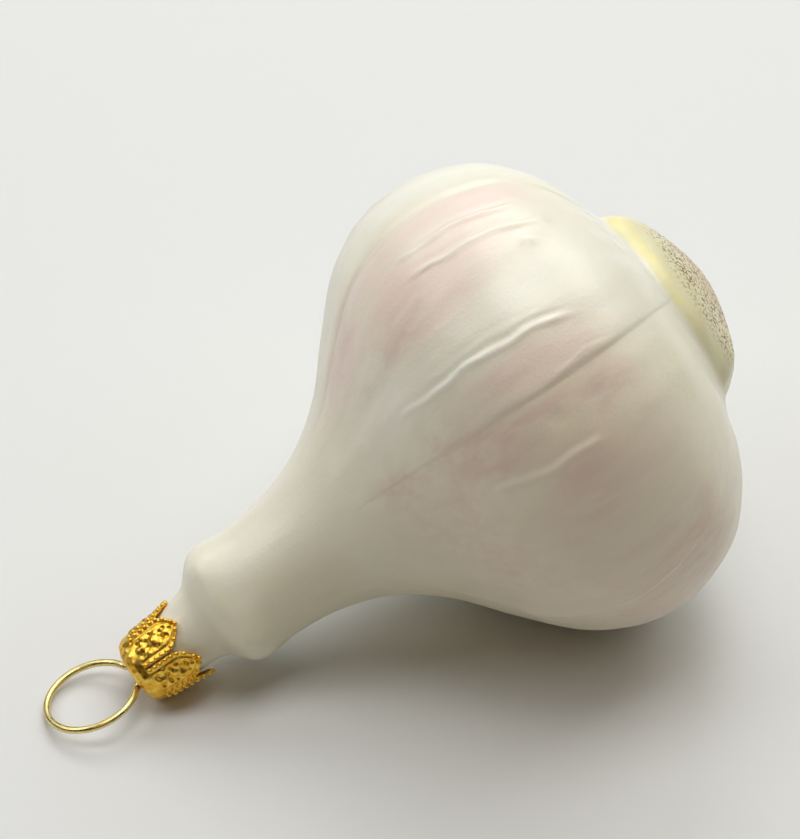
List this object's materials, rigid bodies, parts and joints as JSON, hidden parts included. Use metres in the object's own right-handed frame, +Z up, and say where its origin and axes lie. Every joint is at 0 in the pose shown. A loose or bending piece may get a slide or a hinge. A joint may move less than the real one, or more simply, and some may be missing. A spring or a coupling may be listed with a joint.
{
  "type": "glass garlic bulb ornament",
  "caption": "Hollow blown-glass ornament shaped as a garlic bulb with stem and root plate, with a gilt crown cap and a wire ring to hang it by, lying on its side.",
  "frame": {"origin": "middle of the bounding box's bottom face, on the surface that the ornament lies on", "axes": "+Z up, +X level from the cap and ring towards the root end, +Y away from the side shown"},
  "size_m": [0.0936, 0.0634, 0.06],
  "materials": {
    "painted_glass": "opaque satin lacquer on glass, cream white with mauve streaks and a pale yellow speckled root plate",
    "gilt_sheet": "bright gilt stamped sheet",
    "gilt_wire": "polished pale gold wire"
  },
  "bodies": {
    "root": {"glass_bulb": "painted_glass", "crown_cap": "gilt_sheet", "hanger_wire": "gilt_wire"}
  },
  "joints": []
}
